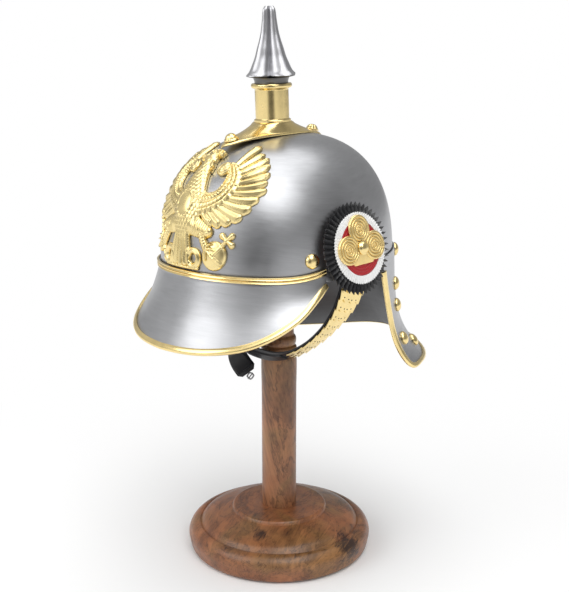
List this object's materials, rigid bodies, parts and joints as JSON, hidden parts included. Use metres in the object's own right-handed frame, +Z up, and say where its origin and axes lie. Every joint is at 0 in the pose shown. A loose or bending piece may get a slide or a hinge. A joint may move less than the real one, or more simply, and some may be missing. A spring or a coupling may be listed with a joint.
{
  "type": "pickelhaube on a turned wooden stand",
  "caption": "Steel parade helmet with a fluted spike, brass eagle plate, bound visor and neck guard, rosettes and scaled chin strap, on a turned wooden stand.",
  "frame": {"origin": "middle of the stand's flat underside", "axes": "+Z up along the stand's post; the helmet faces -Y and the wearer's left side is +X"},
  "size_m": [0.2282, 0.3013, 0.5184],
  "materials": {
    "turned_wood": "satin, knotty brown grain",
    "polished_steel": "bright, hand polished",
    "polished_brass": "bright, pale gold",
    "dark_metal": "dark, dull",
    "black_leather": "smooth black",
    "black_cloth": "black, pleated",
    "white_paint": "white",
    "red_paint": "red"
  },
  "bodies": {
    "root": {"stand_base": "turned_wood", "stand_post": "turned_wood", "skull": "polished_steel", "visor": "polished_steel", "visor_binding": "polished_brass", "front_band": "polished_brass", "neck_guard": "polished_steel", "neck_guard_binding": "polished_brass", "crown_plate": "polished_brass", "crown_stud_front": "polished_brass", "crown_stud_rear": "polished_brass", "spike_tube": "polished_brass", "spike_neck": "dark_metal", "spike": "polished_steel", "eagle": "polished_brass", "chin_strap": "black_leather", "strap_tail": "black_leather", "strap_buckle": "polished_steel", "chin_scales_left": "polished_brass", "rosette_ring_left": "black_cloth", "rosette_white_left": "white_paint", "rosette_red_left": "red_paint", "rosette_trefoil_left": "polished_brass", "rosette_boss_left": "polished_brass", "rosette_stem_left": "polished_brass", "rivet_front_left": "polished_brass", "rivet_rear_left": "polished_brass", "rivet_guard_left_1": "polished_brass", "rivet_guard_left_2": "polished_brass", "rivet_guard_left_3": "polished_brass", "rivet_guard_left_4": "polished_brass", "chin_scales_right": "polished_brass", "rosette_ring_right": "black_cloth", "rosette_white_right": "white_paint", "rosette_red_right": "red_paint", "rosette_trefoil_right": "polished_brass", "rosette_boss_right": "polished_brass", "rosette_stem_right": "polished_brass", "rivet_front_right": "polished_brass", "rivet_rear_right": "polished_brass", "rivet_guard_right_1": "polished_brass", "rivet_guard_right_2": "polished_brass", "rivet_guard_right_3": "polished_brass", "rivet_guard_right_4": "polished_brass"}
  },
  "joints": []
}
